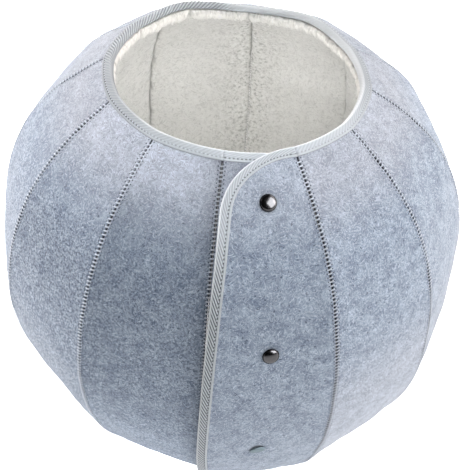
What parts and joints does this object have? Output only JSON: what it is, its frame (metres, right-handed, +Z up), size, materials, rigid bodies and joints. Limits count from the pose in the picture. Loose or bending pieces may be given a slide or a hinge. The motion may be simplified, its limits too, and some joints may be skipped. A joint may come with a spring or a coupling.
{
  "type": "cat tunnel",
  "caption": "Round soft cat tunnel of felt gores with a fleece lining, bound open mouths at top and bottom, and a side flap closed by domed snap caps.",
  "frame": {"origin": "middle of the footprint's box, on the floor", "axes": "+Z up through both mouths, the flap faces -Y"},
  "size_m": [0.4584, 0.4672, 0.4221],
  "materials": {
    "felt": "matte heathered blue-grey felt",
    "lining": "short pale fleece",
    "binding": "grey-white twill tape",
    "snap_metal": "polished dark nickel"
  },
  "bodies": {
    "root": {"felt_gore_01": "felt", "felt_gore_02": "felt", "felt_gore_03": "felt", "felt_gore_04": "felt", "felt_gore_05": "felt", "felt_gore_06": "felt", "felt_gore_07": "felt", "felt_gore_08": "felt", "felt_gore_09": "felt", "felt_gore_10": "felt", "felt_gore_11": "felt", "felt_flap": "felt", "felt_underlap": "felt", "lining_gore_01": "lining", "lining_gore_02": "lining", "lining_gore_03": "lining", "lining_gore_04": "lining", "lining_gore_05": "lining", "lining_gore_06": "lining", "lining_gore_07": "lining", "lining_gore_08": "lining", "lining_gore_09": "lining", "lining_gore_10": "lining", "lining_gore_11": "lining", "lining_flap": "lining", "lining_underlap": "lining", "binding_top": "binding", "binding_bottom": "binding", "binding_flap": "binding", "binding_underlap": "binding", "snap_cap_upper": "snap_metal", "snap_cap_middle": "snap_metal", "snap_cap_lower": "snap_metal"}
  },
  "joints": []
}
